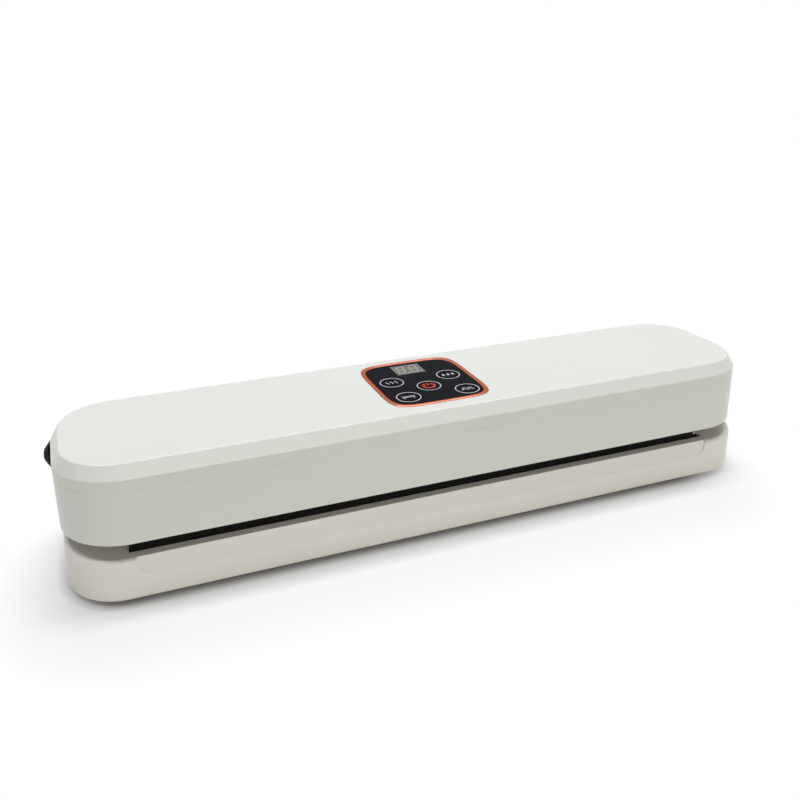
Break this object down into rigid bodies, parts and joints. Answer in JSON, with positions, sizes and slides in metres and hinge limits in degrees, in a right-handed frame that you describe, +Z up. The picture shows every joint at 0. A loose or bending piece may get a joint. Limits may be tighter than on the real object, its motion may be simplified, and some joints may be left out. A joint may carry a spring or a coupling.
{
  "type": "vacuum sealer",
  "caption": "Slim household bag vacuum sealer: thin base tray with a silicone press strip, and a hinged lid that holds the heater, pump, keys and display.",
  "frame": {"origin": "on the table, under the middle of the base tray", "axes": "+X along the length to the right, +Y to the back, where the hinge is, +Z up"},
  "size_m": [0.3621, 0.0873, 0.0644],
  "materials": {
    "white_plastic": "glossy warm white moulded ABS",
    "cream_plastic": "satin cream moulded ABS",
    "grey_plastic": "fine-grained matte ABS",
    "black_rubber": "moulded rubber",
    "black_silicone": "smooth silicone",
    "black_foam": "closed-cell foam",
    "zinc_steel": "zinc-plated steel",
    "heater_resin": "glass-filled phenolic",
    "nichrome": "nickel-chrome ribbon",
    "ptfe_cloth": "PTFE-coated glass cloth",
    "ceramic": "glazed ceramic",
    "copper_trim": "copper-coloured plated trim",
    "black_gloss": "gloss black printed acrylic",
    "key_black": "gloss black printed keys",
    "smoked_window": "smoked acrylic",
    "dark_plastic": "dark moulded plastic",
    "board_green": "solder-masked glass epoxy",
    "pale_nylon": "natural nylon",
    "clear_silicone": "milky silicone hose",
    "brass_valve": "brass",
    "transformer_yellow": "taped winding and core",
    "relay_blue": "moulded relay case",
    "black_gland": "black moulded nylon",
    "red_wire": "PVC insulation",
    "blue_wire": "PVC insulation",
    "pale_cable": "flat ribbon cable"
  },
  "bodies": {
    "base": {"base_housing": "cream_plastic", "base_bottom_cover": "grey_plastic", "base_cover_screws": "zinc_steel", "rubber_feet": "black_rubber", "press_strip": "black_silicone", "lower_gasket": "black_foam", "hinge_pins": "zinc_steel"},
    "lid": {"lid_top_cover": "white_plastic", "lid_housing": "white_plastic", "lid_floor": "grey_plastic", "lid_floor_screws": "zinc_steel", "heater_bar": "heater_resin", "heating_strip": "nichrome", "ptfe_tape": "ptfe_cloth", "thermal_cutoff": "ceramic", "upper_gasket": "black_foam", "panel_bezel": "copper_trim", "panel_fascia": "black_gloss", "display_window": "smoked_window", "display_module": "dark_plastic", "control_board": "board_green", "control_board_screws": "zinc_steel", "tact_switches": "dark_plastic", "pump_motor": "zinc_steel", "pump_head": "dark_plastic", "pump_diaphragm": "black_rubber", "pump_rod": "pale_nylon", "pump_valve_cover": "dark_plastic", "pump_bracket": "zinc_steel", "pump_rubber_mounts": "black_rubber", "vacuum_port": "pale_nylon", "air_hose": "clear_silicone", "vent_valve": "brass_valve", "power_board": "board_green", "power_transformer": "transformer_yellow", "power_relay": "relay_blue", "power_capacitors": "dark_plastic", "cord_gland": "black_gland", "cord_clamp": "dark_plastic", "cord_clamp_screws": "zinc_steel", "heater_leads": "red_wire", "pump_leads": "blue_wire", "panel_cable": "pale_cable"},
    "power_key": {"power_key": "key_black"},
    "moist_key": {"moist_key": "key_black"},
    "pulse_key": {"pulse_key": "key_black"},
    "seal_key": {"seal_key": "key_black"},
    "dry_key": {"dry_key": "key_black"},
    "pump_crank": {"pump_crank": "pale_nylon"}
  },
  "joints": [
    {"name": "lid_hinge", "type": "hinge", "parent": "base", "child": "lid", "pos_m": [0, 0.04195, 0.0224], "axis": [-1, 0, 0], "range_deg": [-4.5, 55.5]},
    {"name": "power_key_press", "type": "slide", "parent": "lid", "child": "power_key", "axis": [0, -0.0785, -0.9969], "range_m": [0, 0.0005], "stiffness_N_per_m": 800},
    {"name": "moist_key_press", "type": "slide", "parent": "lid", "child": "moist_key", "axis": [0, -0.0785, -0.9969], "range_m": [0, 0.0005], "stiffness_N_per_m": 800},
    {"name": "pulse_key_press", "type": "slide", "parent": "lid", "child": "pulse_key", "axis": [0, -0.0785, -0.9969], "range_m": [0, 0.0005], "stiffness_N_per_m": 800},
    {"name": "seal_key_press", "type": "slide", "parent": "lid", "child": "seal_key", "axis": [0, -0.0785, -0.9969], "range_m": [0, 0.0005], "stiffness_N_per_m": 800},
    {"name": "dry_key_press", "type": "slide", "parent": "lid", "child": "dry_key", "axis": [0, -0.0785, -0.9969], "range_m": [0, 0.0005], "stiffness_N_per_m": 800},
    {"name": "crank_spin", "type": "hinge", "parent": "lid", "child": "pump_crank", "pos_m": [0.095, 0.0098, 0.0466], "axis": [1, 0, 0], "continuous": true}
  ]
}
